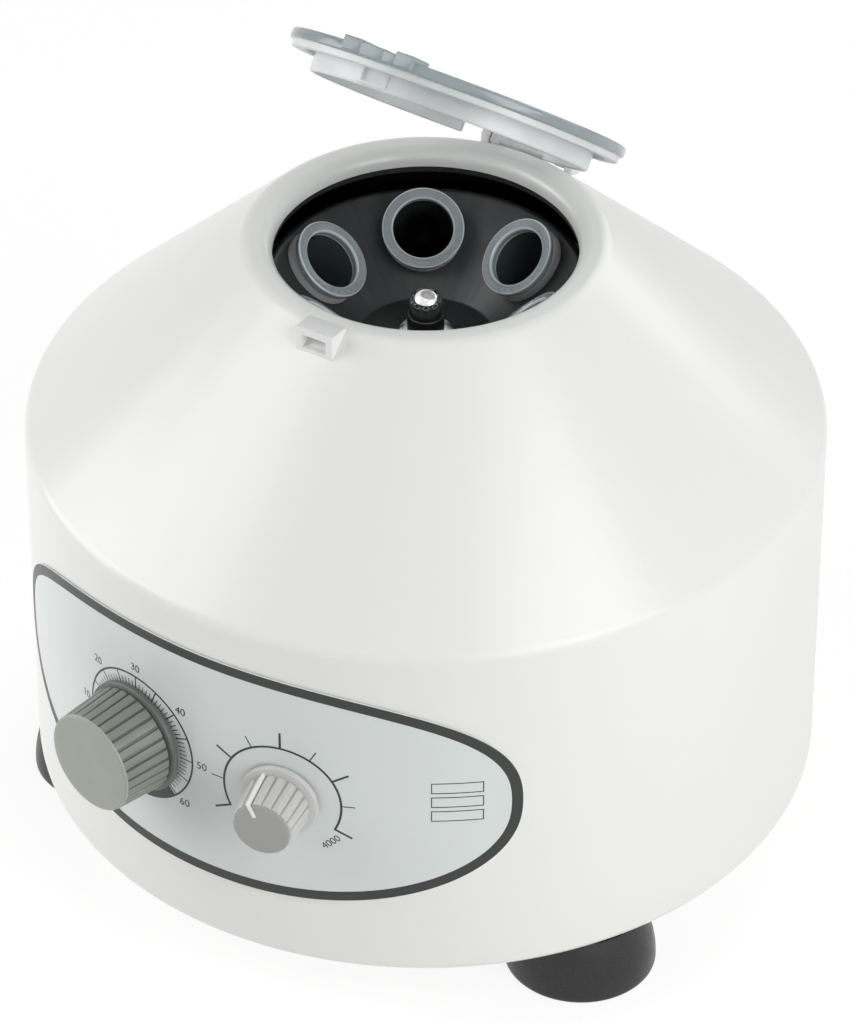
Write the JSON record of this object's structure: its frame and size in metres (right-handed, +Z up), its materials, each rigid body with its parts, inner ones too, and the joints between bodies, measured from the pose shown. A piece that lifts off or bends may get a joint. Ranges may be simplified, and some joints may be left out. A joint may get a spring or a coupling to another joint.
{
  "type": "butterfat centrifuge",
  "caption": "Bench butterfat centrifuge with a conical white housing, an open hinged clear lid, an angle rotor with tube sleeves, a timer and a speed knob.",
  "frame": {"origin": "middle of the bounding box at the level of the bench, under the feet", "axes": "+Z up, the front with the control panel towards -Y, +X to the right as seen from the front; the rotor's vertical axis is at x 0, y 0.00965 m"},
  "size_m": [0.26, 0.2847, 0.2988],
  "materials": {
    "housing": "satin white moulded plastic",
    "panel": "printed film, satin",
    "plate": "zinc plated steel",
    "foot": "black rubber, glossy",
    "fixing": "zinc plated",
    "bright": "polished",
    "alloy": "cast",
    "iron": "stacked laminations",
    "copper": "wound or turned copper",
    "black": "matt black",
    "rotor": "black satin coating",
    "sleeve": "translucent moulded plastic",
    "lid": "clear bluish plastic",
    "knob_grey": "satin grey",
    "knob_pale": "satin pale grey",
    "board": "circuit board laminate",
    "rubber": "matt black rubber"
  },
  "bodies": {
    "base": {"housing_shell": "housing", "control_panel": "panel", "base_plate": "plate", "foot_front_left": "foot", "foot_front_right": "foot", "foot_rear": "foot", "foot_screw_1": "fixing", "foot_screw_2": "fixing", "foot_screw_3": "fixing", "motor_stand": "fixing", "rubber_damper_1": "rubber", "rubber_damper_2": "rubber", "rubber_damper_3": "rubber", "motor_plate": "plate", "motor_can": "fixing", "motor_bell_top": "alloy", "motor_bell_bottom": "alloy", "bearing_upper": "bright", "bearing_lower": "bright", "field_core": "iron", "field_coil_upper": "copper", "field_coil_lower": "copper", "brush_holder_left": "black", "brush_holder_right": "black", "carbon_brush_left": "black", "carbon_brush_right": "black", "chamber_cover": "black", "chamber_bowl": "black", "hinge_pin": "fixing", "timer_body": "alloy", "timer_nut": "bright", "speed_body": "fixing", "speed_nut": "bright", "cord_gland": "rubber", "fuse_holder": "black", "control_board": "board", "board_heatsink": "alloy", "board_capacitor": "black"},
    "rotor": {"motor_shaft": "fixing", "armature_core": "iron", "commutator": "copper", "cooling_fan": "black", "rotor_head": "rotor", "rotor_washer": "bright", "clamp_collar": "black", "dome_nut": "bright"},
    "lid": {"lid": "lid"},
    "timer": {"timer_knob": "knob_grey", "timer_shaft": "fixing"},
    "speed": {"speed_knob": "knob_pale", "speed_shaft": "fixing"},
    "sleeve_1": {"tube_sleeve_1": "sleeve"},
    "sleeve_2": {"tube_sleeve_2": "sleeve"},
    "sleeve_3": {"tube_sleeve_3": "sleeve"},
    "sleeve_4": {"tube_sleeve_4": "sleeve"},
    "sleeve_5": {"tube_sleeve_5": "sleeve"},
    "sleeve_6": {"tube_sleeve_6": "sleeve"}
  },
  "joints": [
    {"name": "lid_hinge", "type": "hinge", "parent": "base", "child": "lid", "pos_m": [0, 0.07305, 0.2154], "axis": [-1, 0, 0], "range_deg": [-40, 60]},
    {"name": "rotor_spin", "type": "hinge", "parent": "base", "child": "rotor", "pos_m": [0, 0.00965, 0.172], "axis": [0, 0, 1], "continuous": true},
    {"name": "timer_turn", "type": "hinge", "parent": "base", "child": "timer", "pos_m": [-0.02728, -0.11868, 0.091], "axis": [0.2079, 0.9781, 0], "range_deg": [0, 300]},
    {"name": "speed_turn", "type": "hinge", "parent": "base", "child": "speed", "pos_m": [0.02728, -0.11868, 0.089], "axis": [-0.2079, 0.9781, 0], "range_deg": [-91.5, 142.5]},
    {"name": "sleeve_lift_1", "type": "slide", "parent": "rotor", "child": "sleeve_1", "axis": [-0.6729, -0.0435, 0.7385], "range_m": [0, 0.01]},
    {"name": "sleeve_lift_2", "type": "slide", "parent": "rotor", "child": "sleeve_2", "axis": [-0.2988, -0.6045, 0.7385], "range_m": [0, 0.01]},
    {"name": "sleeve_lift_3", "type": "slide", "parent": "rotor", "child": "sleeve_3", "axis": [0.3741, -0.561, 0.7385], "range_m": [0, 0.01]},
    {"name": "sleeve_lift_4", "type": "slide", "parent": "rotor", "child": "sleeve_4", "axis": [0.6729, 0.0435, 0.7385], "range_m": [0, 0.01]},
    {"name": "sleeve_lift_5", "type": "slide", "parent": "rotor", "child": "sleeve_5", "axis": [0.2988, 0.6045, 0.7385], "range_m": [0, 0.01]},
    {"name": "sleeve_lift_6", "type": "slide", "parent": "rotor", "child": "sleeve_6", "axis": [-0.3741, 0.561, 0.7385], "range_m": [0, 0.01]}
  ]
}
